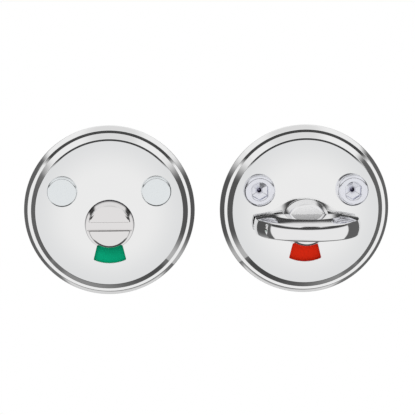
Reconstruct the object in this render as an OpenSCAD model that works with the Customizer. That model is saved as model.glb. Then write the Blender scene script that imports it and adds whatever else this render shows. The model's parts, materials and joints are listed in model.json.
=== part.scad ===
// Toilet indicator set for a bathroom or cubicle door: a pair of round roses with red and green flags.
// The outside half, on the left, has a coin turn. The inside half, on the right, has a thumb turn.
// The two halves lie side by side with their backs on the door plane, as they come out of the box.
// Frame: X to the right, Y into the door, Z up. The origin is on the inside spindle axis, at the door plane.

/* [Layout] */
// Free gap between the two roses
pair_gap = 8; // [4:1:40]
// Thickness of the door that the set is made for
door_t = 40; // [35:1:45]

/* [Rose] */
// Outside diameter of a rose
rose_d = 55; // [53.5:0.5:62]
// Thickness of the pressed sheet
sheet_t = 1; // [0.8:0.05:1.2]
// How far the spindle axis lies below the centre of the rose
spindle_drop = 4; // [3:0.1:5]
// Width of the rim, from the edge of the face to the outside
rim_w = 4; // [3.8:0.1:4.4]
// Slope of the two steps of the rim, in degrees
step_slope = 48.5; // [45:0.5:52]
// Width of the inner step
step_w = 1.6; // [1.4:0.05:1.8]
// Width of the ledge between the two steps
ledge_w = 1.05; // [0.8:0.05:1.2]
// Slope of the ledge, in degrees
ledge_slope = 13; // [6:1:16]
// How far the wall draws in towards the door
wall_draw = 0.5; // [0.2:0.1:0.7]

/* [Window] */
// Outer radius of the window, from the spindle axis
window_r = 12.5; // [11.5:0.1:13.5]
// Width of the window across its outer corners
window_w = 10.4; // [8:0.1:12]
// Lean of the two sides of the window, in degrees
window_lean = 14; // [0:1:20]

/* [Hub and shaft] */
// Diameter of the hub of each turn at its foot
hub_d = 15.8; // [15.2:0.1:17]
// Height of the top of the hub above the face
hub_h = 5; // [4.6:0.1:6]
// Radius of the rounded shoulder of the hub
hub_shoulder_r = 1.4; // [0.8:0.1:2]
// Taper of the side of the hub, in degrees
hub_taper = 13; // [8:1:18]
// How far the hub covers the upper edge of the window
hub_cover = 0.8; // [0.5:0.1:1]
// Diameter of the round journal behind the hub
journal_d = 10; // [9.6:0.1:10.4]
// Width across the four flats of the shaft behind the journal
flats_w = 8.4; // [8:0.1:8.8]

/* [Thumb turn] */
// Width of the half-moon grip
turn_w = 34; // [28:0.5:38]
// Thickness of the half-moon grip at its middle
turn_t = 7; // [5:0.1:8]
// Diameter of the flat middle of the grip's faces
turn_flat_d = 22; // [18:0.5:26]
// Thickness of the half-moon grip at its edge
turn_edge_t = 5; // [4:0.1:7]
// Radius of the crowned edge of the grip, across its thickness
turn_crown_r = 7; // [6:0.5:10]
// Radius of the dome of the thumb turn's hub
turn_dome_r = 48; // [30:1:120]
// How far the centre of the grip's circle lies in front of its rear edge
turn_rise = 1.1; // [0.6:0.1:6]
// Gap between the grip and the screw heads that it passes over
turn_clear = 0.6; // [0.4:0.1:2]

/* [Coin turn] */
// Radius of the dome of the coin turn
coin_dome_r = 80; // [30:1:120]
// Width of the coin slot
slot_w = 2.8; // [2:0.1:3.4]
// Depth of the coin slot below the top of the dome
slot_depth = 2.6; // [1.6:0.1:3]
// Metal left between the coin slot and the spindle socket
slot_floor_t = 1; // [0.8:0.1:1.4]

/* [Spindle] */
// Width of the square spindle
spindle_w = 5; // [4.6:0.1:5.2]
// How far the spindle enters the other half across the door
spindle_bite = 6; // [4:0.5:7]
// Chamfer at the end of the spindle
spindle_chamfer = 0.8; // [0.4:0.1:1.2]
// Diameter of the cross pin that holds the spindle in the thumb turn
cross_pin_d = 1.6; // [1.2:0.1:2]

/* [Flag] */
// Thickness of the flag disc
disc_t = 1; // [0.8:0.1:1.4]
// How far the flag disc reaches past the window
disc_lip = 0.7; // [0.4:0.1:1]
// Thickness of the coloured foils
foil_t = 0.15; // [0.1:0.05:0.3]
// How far a foil reaches past the window at its inner and outer edge
foil_lap = 0.4; // [0.2:0.1:0.5]
// Angle that one foil covers
foil_angle = 80; // [74:1:88]
// Angle that a turn travels from one colour to the other
travel = 90; // [88:1:92]

/* [Base plate] */
// Web of the base plate around the shaft
base_web = 1; // [0.8:0.1:1.6]
// Depth of the shaft end inside the back face
tail_sink = 0.2; // [0.1:0.05:0.6]
// Shaft left behind the circlip groove
tail_land = 0.45; // [0.4:0.05:1]
// Wall of the pillars around the fixings
pillar_wall = 0.6; // [0.5:0.1:1.2]

/* [Bush, washer, circlip, spring and stop] */
// Wall of the bush in the face
bush_wall = 1; // [0.8:0.1:1.1]
// Width of the bush flange
flange_w = 0.6; // [0.4:0.1:0.7]
// Thickness of the bush flange
flange_t = 0.5; // [0.3:0.1:0.8]
// Thickness of the thrust washer
washer_t = 0.3; // [0.2:0.05:0.6]
// Width of the thrust washer's ring
washer_w = 2; // [1.4:0.1:2.4]
// Thickness of the circlip
clip_t = 0.8; // [0.6:0.1:1.2]
// Width of the circlip's ring
clip_w = 1.7; // [1.4:0.1:2]
// Depth of the circlip groove in the corners of the shaft
groove_depth = 0.7; // [0.5:0.05:0.75]
// Radius of the two eyes of the circlip
clip_eye_r = 1.1; // [0.9:0.1:1.2]
// Radius of the plier holes in the eyes
clip_eye_hole_r = 0.5; // [0.3:0.1:0.6]
// Angle of the circlip's mouth
clip_mouth = 36; // [32:1:50]
// Diameter of the detent spring's wire
wire_d = 0.9; // [0.7:0.05:1.1]
// How far the free ends of the spring reach past the shaft
wire_tail = 3; // [2:0.5:5]
// Free room between the shaft and the post that holds the spring
post_room = 1.3; // [1:0.1:2]
// Diameter of the stop pin
stop_pin_d = 2; // [1.6:0.1:2.4]
// How far the stop pin is pressed into the base plate
stop_pin_bite = 2; // [1.4:0.1:2.2]
// How far the stop pin's axis lies inside the edge of the flag disc
stop_inset = 0.6; // [0.3:0.1:1]

/* [Fixings] */
// Distance between the two fixings
screw_pitch = 30; // [29:0.5:33]
// Height of the fixings above the spindle axis
screw_rise = 10.7; // [10:0.1:11.4]
// Thread diameter of the fixing screws
screw_d = 6; // [5:0.1:6.4]
// Relief of the plain neck under the screw head, on its radius
screw_neck_relief = 0.3; // [0.2:0.05:0.5]
// Diameter of the screw heads
screw_head_d = 10; // [9:0.1:10.5]
// Height of the screw heads
screw_head_h = 2.8; // [2.6:0.1:3.4]
// Radius along the edge of the screw heads
screw_edge_r = 1; // [0.4:0.1:1.4]
// Width across the flats of the hexagon socket
hex_w = 5; // [4:0.1:5.2]
// Depth of the hexagon socket
hex_depth = 2.2; // [1.6:0.1:2.4]
// Thread engagement of a screw in its sleeve nut
thread_bite = 12; // [8:0.5:16]
// Chamfer at the end of the screws and sleeves
end_chamfer = 0.6; // [0.3:0.1:0.8]
// Outside diameter of the sleeve nuts
sleeve_d = 8; // [7.6:0.1:8.4]
// Length of the sleeve nuts under the head
sleeve_len = 30; // [26:1:34]
// Diameter of the sleeve nut heads
sleeve_head_d = 9.6; // [9.4:0.1:10.4]
// Height of the sleeve nut heads
sleeve_head_h = 1.5; // [1.2:0.1:2]
// Radius along the edge of the sleeve nut heads
sleeve_edge_r = 0.7; // [0.3:0.1:1]
// Diameter of the tapped bore of the sleeve nuts
tap_d = 5; // [4:0.1:5.2]
// Depth of the tapped bore
tap_depth = 24; // [20:1:26]

/* [Fits] */
// Running clearance of a shaft in its bore, on the radius
running_fit = 0.03; // [0.02:0.01:0.05]
// Running clearance between flat faces
side_gap = 0.05; // [0.03:0.01:0.1]
// Free room in front of the foils and around the flag disc
flag_gap = 0.3; // [0.2:0.05:0.5]
// Clearance of the fixings in their holes, on the radius
hole_gap = 0.2; // [0.1:0.05:0.25]
// Clearance of the base plate in the rose, on the radius
plate_gap = 0.2; // [0.1:0.05:0.4]
// Clearance of the spindle in its socket, on each side
spindle_gap = 0.1; // [0.05:0.05:0.15]
// Clearance of the flag disc on the flats, on each side
flat_fit = 0.02; // [0.01:0.01:0.05]

/* [Hidden] */
$fn = 96;

// How far a cut runs past the faces that it opens
past = 1;

// Places of the two halves along X
inside_x = 0;
outside_x = -(rose_d + pair_gap);

// Heights above the door plane, stacked from the shaft end up to the face
clip_z = tail_sink + tail_land;
washer_z = clip_z + clip_t + side_gap;
web_z = washer_z + washer_t;
plate_z = web_z + base_web;
wire_z = plate_z + side_gap;
disc_z = wire_z + wire_d + flag_gap;
foil_z = disc_z + disc_t;
under_z = foil_z + foil_t + flag_gap;
face_z = under_z + sheet_t;
hub_z = face_z + flange_t + side_gap;
hub_top_z = face_z + hub_h;
socket_z = hub_top_z - slot_depth - slot_floor_t;

// Rose profile: the edge of the face, the two ends of the ledge and the shoulder of the wall
rose_r = rose_d / 2;
face_r = rose_r - rim_w;
ledge_r = face_r + step_w;
ledge_end_r = ledge_r + ledge_w;
ledge_z = face_z - step_w * tan(step_slope);
ledge_end_z = ledge_z - ledge_w * tan(ledge_slope);
wall_z = ledge_end_z - (rose_r - ledge_end_r) * tan(step_slope);
foot_r = rose_r - wall_draw;
face_cavity_r = face_r - sheet_t;
rim_cavity_r = foot_r - sheet_t;
rim_cavity_z = ledge_end_z - sheet_t;

// Window, flag and stop
window_in_r = hub_d / 2 - hub_cover;
window_corner_y = sqrt(window_r ^ 2 - (window_w / 2) ^ 2);
disc_r = window_r + disc_lip;
stop_r = disc_r - stop_inset;
stop_notch_r = stop_r - stop_pin_d / 2 - flag_gap;
stop_half_angle = asin((stop_pin_d / 2 + side_gap) / stop_r);
window_angle = -90;
stop_angle = 90;

// Shaft, bush, circlip and spring
journal_r = journal_d / 2;
bore_r = journal_r + running_fit;
bush_r = bore_r + bush_wall;
flange_r = bush_r + flange_w;
groove_r = journal_r - groove_depth;
clip_in_r = groove_r + side_gap;
clip_out_r = clip_in_r + clip_w;
clip_eye_ring_r = clip_out_r - clip_eye_r / 4;
washer_in_r = bore_r + flag_gap;
washer_out_r = washer_in_r + washer_w;
recess_r = max(clip_eye_ring_r + clip_eye_r, washer_out_r) + flag_gap;
leg_y = flats_w / 2 + flat_fit + wire_d / 2;
post_r = leg_y - wire_d / 2 - side_gap;
bend_x = journal_r + post_room + post_r;
leg_end_x = journal_r + wire_tail;
cross_pin_z = web_z + base_web / 2;

// Thumb turn and spindle
grip_z = face_z + screw_head_h + turn_clear;
grip_c_z = grip_z + turn_rise;
grip_r = turn_w / 2;
socket_w = spindle_w + 2 * spindle_gap;
spindle_reach = door_t + tail_sink + spindle_bite;

// Fixings
screw_reach = door_t - (sleeve_len - face_z) + thread_bite;
screw_hole_r = screw_d / 2 + hole_gap;
sleeve_hole_r = sleeve_d / 2 + hole_gap;
hex_corner_r = hex_w / 2 / cos(30);

// One half stands at x, with its own z pointing out from the door and its own y pointing up
module half(x) {
    translate([x, 0, 0]) rotate([90, 0, 0]) children();
}

// Repeats a shape at the two fixings of a half
module at_fixings() {
    for (side = [-1, 1]) translate([side * screw_pitch / 2, screw_rise, 0]) children();
}

// Flat shape between two radii, over an angle centred on mid
module ring_sector(r_in, r_out, mid, angle) {
    reach = 2 * r_out;
    intersection() {
        difference() {
            circle(r_out);
            circle(r_in);
        }
        polygon(concat([[0, 0]], [for (i = [-1, -0.5, 0, 0.5, 1])
            reach * [cos(mid + i * angle / 2), sin(mid + i * angle / 2)]]));
    }
}

// Flat shape of a rectangle from the axis out to r, with its outer upper corner rounded
module rounded_step(r, h, edge_r) {
    square([r - edge_r, h]);
    square([r, h - edge_r]);
    translate([r - edge_r, h - edge_r]) circle(edge_r);
}

// Half section of a rose: flat face, two steps with a ledge between them, and the wall, hollow from behind
module rose_section() {
    difference() {
        polygon([
            [0, 0], [foot_r, 0], [rose_r, wall_z], [ledge_end_r, ledge_end_z], [ledge_r, ledge_z],
            [face_r, face_z], [0, face_z]
        ]);
        translate([0, -past]) square([face_cavity_r, under_z + past]);
        translate([0, -past]) square([rim_cavity_r, rim_cavity_z + past]);
    }
}

// Window outline: an arc at the bottom and two leaning sides, running up under the hub
module window_outline() {
    slope = tan(window_lean);
    bottom_y = window_r + past;
    half_w_at = function(y) window_w / 2 + (y - window_corner_y) * slope;
    intersection() {
        difference() {
            circle(window_r);
            circle(window_in_r);
        }
        polygon([
            [half_w_at(window_in_r / 2), -window_in_r / 2], [half_w_at(bottom_y), -bottom_y],
            [-half_w_at(bottom_y), -bottom_y], [-half_w_at(window_in_r / 2), -window_in_r / 2]
        ]);
    }
}

// Pressed rose with the holes for the bush, the window and the fixings
module rose(fixing_hole_r) {
    color("gainsboro") difference() {
        translate([0, spindle_drop, 0]) rotate_extrude() rose_section();
        translate([0, 0, under_z - past]) cylinder(r = bush_r, h = sheet_t + 2 * past);
        translate([0, 0, under_z - past]) linear_extrude(sheet_t + 2 * past) window_outline();
        at_fixings() translate([0, 0, under_z - past]) cylinder(r = fixing_hole_r, h = sheet_t + 2 * past);
    }
}

// Base plate: a disc with pillars up to the face, a post for the spring and a recess for the circlip
module base_plate(fixing_hole_r) {
    color("darkgray") difference() {
        union() {
            translate([0, spindle_drop, 0]) cylinder(r = rim_cavity_r - plate_gap, h = plate_z);
            difference() {
                at_fixings() cylinder(r = fixing_hole_r + pillar_wall, h = under_z);
                translate([0, 0, plate_z]) cylinder(r = disc_r + flag_gap, h = under_z);
            }
            translate([-bend_x, 0, 0]) cylinder(r = post_r, h = wire_z + wire_d);
        }
        translate([0, 0, -past]) cylinder(r = bore_r, h = plate_z + 2 * past);
        translate([0, 0, -past]) cylinder(r = recess_r, h = web_z + past);
        at_fixings() translate([0, 0, -past]) cylinder(r = fixing_hole_r, h = under_z + 2 * past);
        stop_pin_shape();
    }
}

// Bush with a flange on the face, in which the journal turns
module bush() {
    color("ivory") difference() {
        union() {
            translate([0, 0, under_z]) cylinder(r = bush_r, h = sheet_t);
            translate([0, 0, face_z]) cylinder(r = flange_r, h = flange_t);
        }
        translate([0, 0, under_z - past]) cylinder(r = bore_r, h = sheet_t + flange_t + 2 * past);
    }
}

// Tapered hub with a domed top: the shoulder circle touches the tapered side and, from inside, the dome
module hub(dome_r) {
    hub_r = hub_d / 2;
    dome_c = [0, hub_top_z - dome_r];
    side_n = [cos(hub_taper), sin(hub_taper)];
    side_u = [-sin(hub_taper), cos(hub_taper)];
    reach_r = dome_r - hub_shoulder_r;
    foot_c = [hub_r, hub_z] - hub_shoulder_r * side_n;
    from_dome = foot_c - dome_c;
    along = from_dome * side_u;
    shoulder_c = foot_c + (sqrt(along ^ 2 - from_dome * from_dome + reach_r ^ 2) - along) * side_u;
    rotate_extrude() {
        intersection() {
            translate(dome_c) circle(dome_r, $fn = 360);
            translate([0, hub_z]) square([shoulder_c.x * dome_r / reach_r, hub_h]);
        }
        polygon([
            [0, hub_z], [hub_r, hub_z], shoulder_c + hub_shoulder_r * side_n, shoulder_c, [0, shoulder_c.y]
        ]);
        translate(shoulder_c) circle(hub_shoulder_r);
    }
}

// Cross section of the shaft behind the journal: a round bar with four flats, grown by fit
module flats_outline(fit) {
    intersection() {
        circle(journal_r + fit);
        square(flats_w + 2 * fit, center = true);
    }
}

// Shaft behind the hub: round journal, four flats and a circlip groove near its end
module shaft() {
    translate([0, 0, foil_z]) cylinder(r = journal_r, h = hub_z - foil_z + past);
    difference() {
        translate([0, 0, tail_sink]) linear_extrude(foil_z - tail_sink) flats_outline(0);
        difference() {
            translate([0, 0, clip_z - side_gap]) cylinder(r = journal_r + past, h = clip_t + 2 * side_gap);
            translate([0, 0, clip_z - past]) cylinder(r = groove_r, h = clip_t + 2 * past);
        }
    }
}

// Square socket for the spindle, open at the shaft end
module spindle_socket() {
    translate([-socket_w / 2, -socket_w / 2, tail_sink - past])
        cube([socket_w, socket_w, socket_z - tail_sink + past]);
}

// Coin turn: domed head with a straight slot, made in one with its shaft
module coin_turn_shape() {
    color("silver") difference() {
        union() {
            hub(coin_dome_r);
            shaft();
        }
        translate([-hub_d, -slot_w / 2, hub_top_z - slot_depth])
            cube([2 * hub_d, slot_w, slot_depth + past]);
        spindle_socket();
    }
}

// Half section of the grip: flat in the middle, leaning towards the edge, with the edge crowned
module grip_section() {
    mid_h = turn_t / 2;
    edge_h = turn_edge_t / 2;
    flat_r = turn_flat_d / 2;
    crown_x = grip_r - turn_crown_r;
    intersection() {
        polygon([
            [0, -mid_h], [flat_r, -mid_h], [grip_r, -edge_h], [grip_r, edge_h], [flat_r, mid_h], [0, mid_h]
        ]);
        union() {
            translate([crown_x, 0]) circle(turn_crown_r, $fn = 360);
            translate([0, -turn_t]) square([crown_x, 2 * turn_t]);
        }
    }
}

// Half-moon grip: a disc on edge, cut off straight behind its centre
module grip() {
    difference() {
        translate([0, 0, grip_c_z]) rotate([90, 0, 0]) rotate_extrude() grip_section();
        translate([-turn_w, -turn_t, grip_z - turn_w]) cube([2 * turn_w, 2 * turn_t, turn_w]);
    }
}

// Thumb turn: half-moon grip, hub and shaft in one casting
module thumb_turn_shape() {
    color("silver") difference() {
        union() {
            hub(turn_dome_r);
            shaft();
            grip();
        }
        spindle_socket();
        cross_pin_shape(journal_d);
    }
}

// Flag disc: keyed on the four flats, with a notch in its edge that lets it travel past the stop pin
module flag_disc() {
    color("whitesmoke") translate([0, 0, disc_z]) difference() {
        cylinder(r = disc_r, h = disc_t);
        translate([0, 0, -past]) linear_extrude(disc_t + 2 * past) flats_outline(flat_fit);
        translate([0, 0, -past]) linear_extrude(disc_t + 2 * past)
            ring_sector(stop_notch_r, disc_r + past, stop_angle - travel / 2, travel + 2 * stop_half_angle);
    }
}

// Coloured foil on the front of the flag disc, centred on an angle
module foil(colour, mid) {
    color(colour) translate([0, 0, foil_z]) linear_extrude(foil_t)
        ring_sector(window_in_r - foil_lap, window_r + foil_lap, mid, foil_angle);
}

// Detent spring: a wire fork whose legs lie on two flats of the shaft, held by its bend around the post
module detent_spring() {
    color("dimgray") translate([0, 0, wire_z + wire_d / 2]) {
        for (side = [-1, 1]) translate([-bend_x, side * leg_y, 0]) rotate([0, 90, 0])
            cylinder(d = wire_d, h = bend_x + leg_end_x);
        translate([-bend_x, 0, 0]) rotate([0, 0, 90]) rotate_extrude(angle = 180)
            translate([leg_y, 0]) circle(d = wire_d);
    }
}

// Thrust washer between the base plate and the circlip
module thrust_washer() {
    color("goldenrod") translate([0, 0, washer_z]) difference() {
        cylinder(r = washer_out_r, h = washer_t);
        translate([0, 0, -past]) cylinder(r = washer_in_r, h = washer_t + 2 * past);
    }
}

// Circlip: an open ring with two eyes, in the groove of the shaft
module circlip() {
    color("slategray") translate([0, 0, clip_z]) difference() {
        union() {
            linear_extrude(clip_t) ring_sector(clip_in_r, clip_out_r, 90, 360 - clip_mouth);
            at_clip_eyes() cylinder(r = clip_eye_r, h = clip_t);
        }
        translate([0, 0, -past]) cylinder(r = clip_in_r, h = clip_t + 2 * past);
        at_clip_eyes() translate([0, 0, -past]) cylinder(r = clip_eye_hole_r, h = clip_t + 2 * past);
    }
}

// Places of the two eyes, beside the mouth of the circlip
module at_clip_eyes() {
    for (side = [-1, 1]) rotate([0, 0, -90 + side * clip_mouth / 2])
        translate([clip_eye_ring_r, 0, 0]) children();
}

// Stop pin, pressed into the base plate and standing in the notch of the flag disc
module stop_pin_shape() {
    pin_z = plate_z - stop_pin_bite;
    rotate([0, 0, stop_angle]) translate([stop_r, 0, pin_z]) cylinder(d = stop_pin_d, h = foil_z - pin_z);
}

// Square spindle with a turned chamfer at its free end
module spindle_shape() {
    corner_r = spindle_w / 2 * sqrt(2);
    tip_r = corner_r - spindle_chamfer;
    difference() {
        intersection() {
            translate([-spindle_w / 2, -spindle_w / 2, -spindle_reach])
                cube([spindle_w, spindle_w, spindle_reach + socket_z]);
            translate([0, 0, -spindle_reach]) {
                cylinder(r1 = tip_r, r2 = corner_r, h = spindle_chamfer);
                translate([0, 0, spindle_chamfer]) cylinder(r = corner_r, h = spindle_reach + socket_z);
            }
        }
        cross_pin_shape(journal_d);
    }
}

// Cross pin through the shaft and the spindle
module cross_pin_shape(length) {
    translate([-length / 2, 0, cross_pin_z]) rotate([0, 90, 0]) cylinder(d = cross_pin_d, h = length);
}

// Head of a fixing on the face, with its edge rounded
module turned_head(r, h, edge_r) {
    translate([0, 0, face_z]) rotate_extrude() rounded_step(r, h, edge_r);
}

// Round bar that starts at end_z, with a chamfer there
module chamfered_bar(r, end_z, length) {
    translate([0, 0, end_z]) cylinder(r1 = r - end_chamfer, r2 = r, h = end_chamfer);
    translate([0, 0, end_z + end_chamfer]) cylinder(r = r, h = length - end_chamfer);
}

// Fixing screw: rounded head with a hexagon socket, a relieved neck and a threaded end
module fixing_screw() {
    thread_r = screw_d / 2;
    difference() {
        union() {
            turned_head(screw_head_d / 2, screw_head_h, screw_edge_r);
            cylinder(r = thread_r - screw_neck_relief, h = face_z + past);
            chamfered_bar(thread_r, -screw_reach, screw_reach);
        }
        translate([0, 0, face_z + screw_head_h - hex_depth]) rotate([0, 0, 90])
            cylinder(r = hex_corner_r, h = hex_depth + past, $fn = 6);
    }
}

// Sleeve nut: plain rounded head and a long sleeve, tapped from its end
module sleeve_nut() {
    end_z = face_z - sleeve_len;
    difference() {
        union() {
            turned_head(sleeve_head_d / 2, sleeve_head_h, sleeve_edge_r);
            chamfered_bar(sleeve_d / 2, end_z, sleeve_len);
        }
        translate([0, 0, end_z - past]) cylinder(d = tap_d, h = tap_depth + past);
    }
}

module outside_rose() { half(outside_x) rose(sleeve_hole_r); }
module outside_base_plate() { half(outside_x) base_plate(sleeve_hole_r); }
module outside_bush() { half(outside_x) bush(); }
module coin_turn() { half(outside_x) coin_turn_shape(); }
module outside_flag_disc() { half(outside_x) flag_disc(); }
module outside_green_foil() { half(outside_x) foil("seagreen", window_angle); }
module outside_red_foil() { half(outside_x) foil("firebrick", window_angle - travel); }
module outside_detent_spring() { half(outside_x) detent_spring(); }
module outside_thrust_washer() { half(outside_x) thrust_washer(); }
module outside_circlip() { half(outside_x) circlip(); }
module outside_stop_pin() { half(outside_x) color("gray") stop_pin_shape(); }
module sleeve_nuts() { half(outside_x) color("lightgray") at_fixings() sleeve_nut(); }

module inside_rose() { half(inside_x) rose(screw_hole_r); }
module inside_base_plate() { half(inside_x) base_plate(screw_hole_r); }
module inside_bush() { half(inside_x) bush(); }
module thumb_turn() { half(inside_x) thumb_turn_shape(); }
module inside_flag_disc() { half(inside_x) flag_disc(); }
module inside_red_foil() { half(inside_x) foil("firebrick", window_angle); }
module inside_green_foil() { half(inside_x) foil("seagreen", window_angle - travel); }
module inside_detent_spring() { half(inside_x) detent_spring(); }
module inside_thrust_washer() { half(inside_x) thrust_washer(); }
module inside_circlip() { half(inside_x) circlip(); }
module inside_stop_pin() { half(inside_x) color("gray") stop_pin_shape(); }
module spindle() { half(inside_x) color("lightsteelblue") spindle_shape(); }
module spindle_cross_pin() { half(inside_x) color("gray") cross_pin_shape(flats_w - 2 * side_gap); }
module fixing_screws() { half(inside_x) color("lightsteelblue") at_fixings() fixing_screw(); }

outside_rose();
outside_base_plate();
outside_bush();
coin_turn();
outside_flag_disc();
outside_green_foil();
outside_red_foil();
outside_detent_spring();
outside_thrust_washer();
outside_circlip();
outside_stop_pin();
sleeve_nuts();
inside_rose();
inside_base_plate();
inside_bush();
thumb_turn();
inside_flag_disc();
inside_green_foil();
inside_red_foil();
inside_detent_spring();
inside_thrust_washer();
inside_circlip();
inside_stop_pin();
spindle();
spindle_cross_pin();
fixing_screws();
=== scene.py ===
# %% [markdown]
# # A toilet indicator set in polished metal
# The set is a pair of round door roses. The outside half, on the left, has a coin slot and a green flag.
# The inside half, on the right, has a half-moon thumb turn and a red flag. This lesson loads the solid
# model as a fixed frame, works out fine-edged surfaces for the pieces that show, gives every piece a
# finish, and lights the pair as in a small product studio.

# %% Load the frame
import json

import bmesh
import bpy
import numpy as np
from mathutils import Matrix, Vector
from mathutils.geometry import delaunay_2d_cdt


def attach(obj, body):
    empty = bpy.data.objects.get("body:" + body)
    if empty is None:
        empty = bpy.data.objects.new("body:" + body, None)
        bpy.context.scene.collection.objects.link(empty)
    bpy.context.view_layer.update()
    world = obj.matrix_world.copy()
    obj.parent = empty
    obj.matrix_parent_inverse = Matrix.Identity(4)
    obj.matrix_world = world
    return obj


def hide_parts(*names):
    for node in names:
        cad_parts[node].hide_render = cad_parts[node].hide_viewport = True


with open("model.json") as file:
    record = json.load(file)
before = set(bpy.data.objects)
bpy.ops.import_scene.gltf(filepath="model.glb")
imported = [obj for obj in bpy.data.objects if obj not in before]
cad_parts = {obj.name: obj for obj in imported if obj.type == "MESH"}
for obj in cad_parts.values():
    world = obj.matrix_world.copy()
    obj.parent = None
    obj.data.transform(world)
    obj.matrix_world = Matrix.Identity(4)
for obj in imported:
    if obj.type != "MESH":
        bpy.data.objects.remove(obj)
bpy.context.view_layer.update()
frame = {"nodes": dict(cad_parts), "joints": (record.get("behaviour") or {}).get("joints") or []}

# %% [markdown]
# ## Where a piece goes
# Each half is turned and pressed around its own spindle axis, so it is easiest to think of it lying on a
# bench: x to the right, y up the door and z straight out of the door, in millimetres. One function carries
# such points into the frame's metres. The joints of the frame say where the two spindle axes are.

# %% Bench and frame
MM = 0.001
AXIS_X = {joint["child"]: joint["pos_m"][0] for joint in frame["joints"]}
OUTSIDE, INSIDE = AXIS_X["outside_turn"], AXIS_X["inside_turn"]
MIDDLE = (OUTSIDE + INSIDE) / 2


def to_frame(points, axis_x):
    """Bench millimetres to frame metres: X = x + axis, Y = -z, Z = y."""
    x, y, z = np.moveaxis(np.asarray(points, float) * MM, -1, 0)
    return np.stack([x + axis_x, -z, y], axis=-1)


print("spindle axes at x =", OUTSIDE, INSIDE)

# %% [markdown]
# ## Curves to build from
# Almost every shape here is a profile carried along a path. Three small tools make the profiles: an arc, a
# corner softened by a parabola, and a loop spread outwards by a distance. A softened corner matters more
# than it seems: on polished metal it is the edge that catches the light.

# %% Profiles
CORNER_STEPS = 6


def arc(centre, radius, start, end, count):
    """Even points on a circle: centre + radius (cos a, sin a), with a from start to end in degrees."""
    a = np.radians(np.linspace(start, end, count))
    return np.asarray(centre) + radius * np.column_stack([np.cos(a), np.sin(a)])


def ring_loop(centre, radius, count):
    """A full circle as a closed loop, anticlockwise, without a repeated last point."""
    return arc(centre, radius, 0, 360, count + 1)[:-1]


def bezier(start, corner, end, t):
    """The parabola (1-t)^2 start + 2t(1-t) corner + t^2 end."""
    return (1 - t) ** 2 * start + 2 * t * (1 - t) * corner + t**2 * end


def soften(path, cuts):
    """Gives each inner corner of a path its parabola, which starts and ends at the cut's distance from it."""
    path = np.asarray(path, float)
    t = np.linspace(0, 1, CORNER_STEPS + 1)[:, None]
    parts = [path[:1]]
    for before, corner, after, cut in zip(path[:-2], path[1:-1], path[2:], cuts):
        ends = [corner + cut * (p - corner) / np.linalg.norm(p - corner) for p in (before, after)]
        parts.append(bezier(ends[0], corner, ends[1], t) if cut else corner[None])
    return np.concatenate(parts + [path[-1:]])


def outward(loop):
    """Normals of an anticlockwise loop: its tangent, from neighbour to neighbour, turned to the right."""
    tangent = np.roll(loop, -1, axis=0) - np.roll(loop, 1, axis=0)
    normal = np.column_stack([tangent[:, 1], -tangent[:, 0]])
    return normal / np.linalg.norm(normal, axis=1, keepdims=True)


def tangents(path):
    """Unit vectors along an open path, from neighbour to neighbour."""
    run = np.gradient(path, axis=0)
    return run / np.linalg.norm(run, axis=1, keepdims=True)


print("a softened square corner has", len(soften([(0, 0), (1, 0), (1, 1)], [0.2])), "points")

# %% [markdown]
# ## From grids to meshes
# A surface of two parameters is a grid of points, and a grid of points is a mesh whose faces join
# neighbours. Several grids make one piece: their shared rims are merged, so that the skin is closed, and
# the faces are then turned outwards. Flat plates with holes aren't a grid, so a Delaunay fill closes those
# between their loops.

# %% Grids and pieces
MERGE = 0.0000015
SHARP, CRISP = np.radians([32, 15])


def turned(r, z, angles, centre=(0, 0)):
    """A turned surface: x = r cos a, y = r sin a, z = z, with r and z by rows and a by columns."""
    r, z, a = np.broadcast_arrays(r, z, angles)
    return np.stack([centre[0] + r * np.cos(a), centre[1] + r * np.sin(a), z], axis=-1)


def grid(points, wrap=False):
    """Corners and quads of a grid of points; wrap joins the last column to the first."""
    number = np.arange(points.shape[0] * points.shape[1]).reshape(points.shape[:2])
    if wrap:
        number = np.hstack([number, number[:, :1]])
    quads = np.stack([number[:-1, :-1], number[:-1, 1:], number[1:, 1:], number[1:, :-1]], axis=-1)
    return points.reshape(-1, 3), quads.reshape(-1, 4)


def flat_fill(loops, z):
    """Triangles at one height between the first loop and the loops inside it."""
    sizes = np.cumsum([0] + [len(loop) for loop in loops])
    sides = [list(range(a, b)) for a, b in zip(sizes[:-1], sizes[1:])]
    inside_with_holes = 2
    corners, _, triangles, *_ = delaunay_2d_cdt(
        [Vector(p) for p in np.concatenate(loops)], [], sides, inside_with_holes, MERGE
    )
    flat = np.array(corners)
    return np.column_stack([flat, np.full(len(flat), z)]), np.array(triangles)


def mirrored(patch, axis):
    """The same patch on the other side of the middle: one coordinate changes its sign."""
    flip = np.ones(3)
    flip[axis] = -1
    return patch[0] * flip, patch[1]


def add_object(name, data):
    """An object in the scene for a mesh, a lamp or a camera."""
    made = bpy.data.objects.new(name, data)
    bpy.context.scene.collection.objects.link(made)
    return made


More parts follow.
